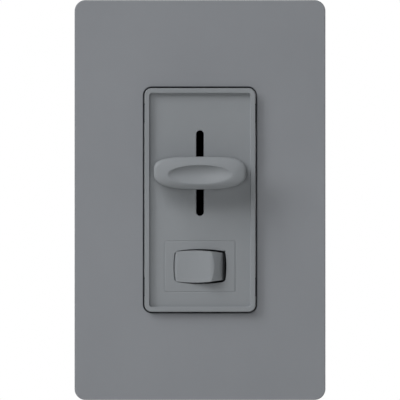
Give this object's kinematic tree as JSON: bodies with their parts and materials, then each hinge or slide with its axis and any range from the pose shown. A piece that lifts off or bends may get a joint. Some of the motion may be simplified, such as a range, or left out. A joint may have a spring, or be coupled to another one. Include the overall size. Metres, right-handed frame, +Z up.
{
  "type": "dimmer slide switch",
  "caption": "One-gang wall dimmer with an oval slide knob, a small on/off rocker and a screwless wall plate.",
  "frame": {"origin": "on the wall surface, midway between the two box screws", "axes": "+Z up, front faces -Y, +X to the right as seen from the front; the wall surface is the plane Y = 0"},
  "size_m": [0.0746, 0.0454, 0.119],
  "materials": {
    "grey_plastic": "satin moulded thermoplastic",
    "dark_grey_plastic": "moulded polycarbonate",
    "black_plastic": "moulded acetal",
    "housing_plastic": "glass filled nylon, spark textured",
    "yoke_aluminium": "mill finish sheet",
    "zinc_steel": "bright zinc plated",
    "green_steel": "green dyed zinc plate",
    "brass": "rolled brass",
    "copper": "beryllium copper sheet",
    "enamelled_wire": "enamelled copper wire",
    "silver_contact": "silver rivet",
    "fibre": "vulcanised fibre",
    "board": "glass epoxy with green mask",
    "track": "phenolic strip with carbon track",
    "ivory_plastic": "moulded nylon",
    "ferrite": "painted iron powder",
    "mica": "mica sheet",
    "yellow_film": "epoxy dipped",
    "red_film": "epoxy dipped",
    "resistor_coat": "lacquered",
    "diode_glass": "sealed glass"
  },
  "bodies": {
    "device": {"faceplate": "grey_plastic", "adapter_plate": "dark_grey_plastic", "adapter_screws": "zinc_steel", "box_screws": "zinc_steel", "screw_retainers": "fibre", "yoke": "yoke_aluminium", "ground_screw": "green_steel", "bezel": "grey_plastic", "slider_guide": "black_plastic", "pot_case": "zinc_steel", "pot_track": "track", "fulcrum_post": "brass", "switch_terminals": "brass", "fixed_contacts": "silver_contact", "circuit_board": "board", "triac_tab": "zinc_steel", "triac_body": "black_plastic", "triac_leads": "zinc_steel", "triac_pad": "mica", "triac_screw": "zinc_steel", "choke_core": "ferrite", "choke_winding": "enamelled_wire", "filter_capacitor": "yellow_film", "timing_capacitor": "red_film", "diac": "diode_glass", "resistors": "resistor_coat", "back_housing": "housing_plastic", "housing_rivets": "zinc_steel", "terminal_strips": "brass", "terminal_clamps": "zinc_steel", "terminal_screws": "brass"},
    "slider": {"slider_knob": "grey_plastic", "slider_carrier": "black_plastic", "pot_slider": "ivory_plastic", "wiper_contact": "copper"},
    "rocker": {"rocker_button": "grey_plastic", "rocker_plunger": "ivory_plastic", "plunger_spring": "zinc_steel"},
    "seesaw": {"contact_arm": "copper", "moving_contacts": "silver_contact"}
  },
  "joints": [
    {"name": "slider_travel", "type": "slide", "parent": "device", "child": "slider", "axis": [0, 0, 1], "range_m": [-0.0103, 0.0103]},
    {"name": "rocker_tilt", "type": "hinge", "parent": "device", "child": "rocker", "pos_m": [0, -0.00155, -0.0198], "axis": [0, 0, 1], "range_deg": [0, 26.6]},
    {"name": "contact_rock", "type": "hinge", "parent": "device", "child": "seesaw", "pos_m": [0, 0.00805, -0.0198], "axis": [0, 0, 1], "range_deg": [-10, 0]}
  ],
  "couplings": [
    {"joint": "contact_rock", "follows": "rocker_tilt", "ratio": -0.3759}
  ]
}
